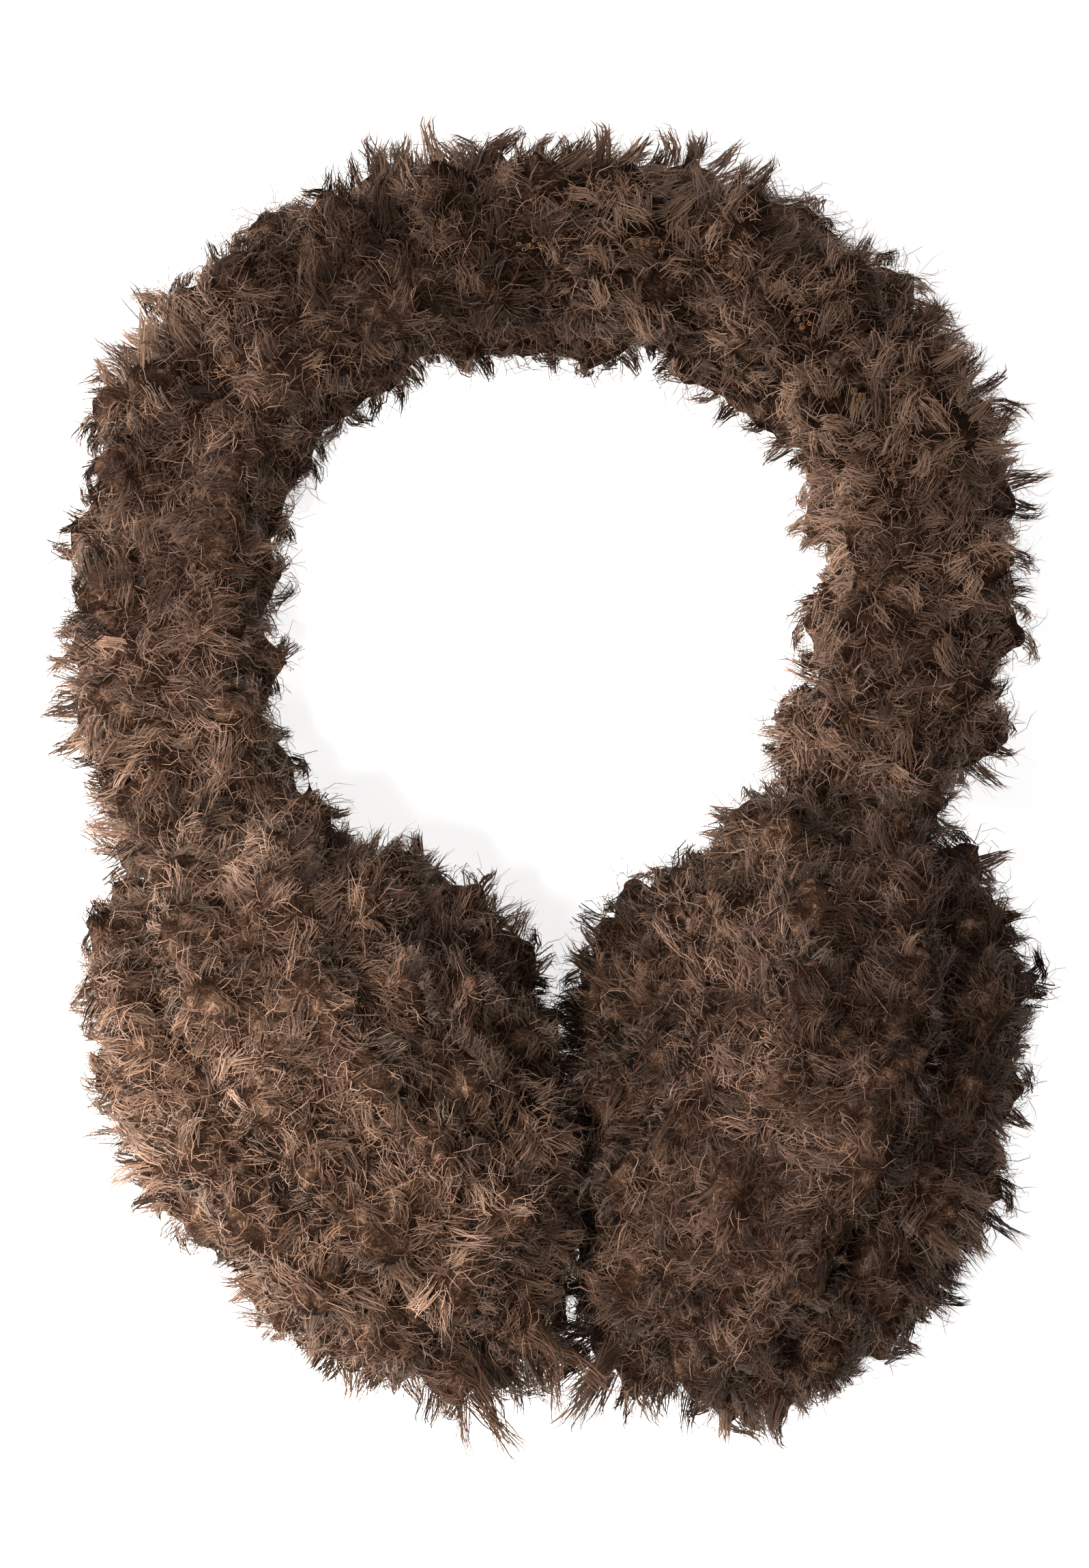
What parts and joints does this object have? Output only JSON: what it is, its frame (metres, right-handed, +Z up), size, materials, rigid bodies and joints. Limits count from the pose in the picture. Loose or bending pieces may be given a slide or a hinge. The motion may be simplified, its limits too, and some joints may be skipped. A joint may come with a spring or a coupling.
{
  "type": "fur earmuffs",
  "caption": "Curly-pile fur earmuffs lying flat: a plump furry headband loop with round, thick, furry cups whose pads lean on each other.",
  "frame": {"origin": "on the table, under the middle of the earmuffs as they lie", "axes": "+X from the left cup to the right cup, +Y from the cups to the top of the band, +Z up from the table"},
  "size_m": [0.1782, 0.2348, 0.1147],
  "materials": {
    "band_pile": "curly wool-like pile in pointed locks, mid brown with lighter tips, matt with a soft sheen",
    "cup_pile": "curly wool-like pile in pointed locks, mid brown with lighter tips, matt with a soft sheen"
  },
  "bodies": {
    "root": {"headband": "band_pile", "left_ear_pad": "cup_pile", "left_outer_cover": "cup_pile", "right_ear_pad": "cup_pile", "right_outer_cover": "cup_pile"}
  },
  "joints": []
}
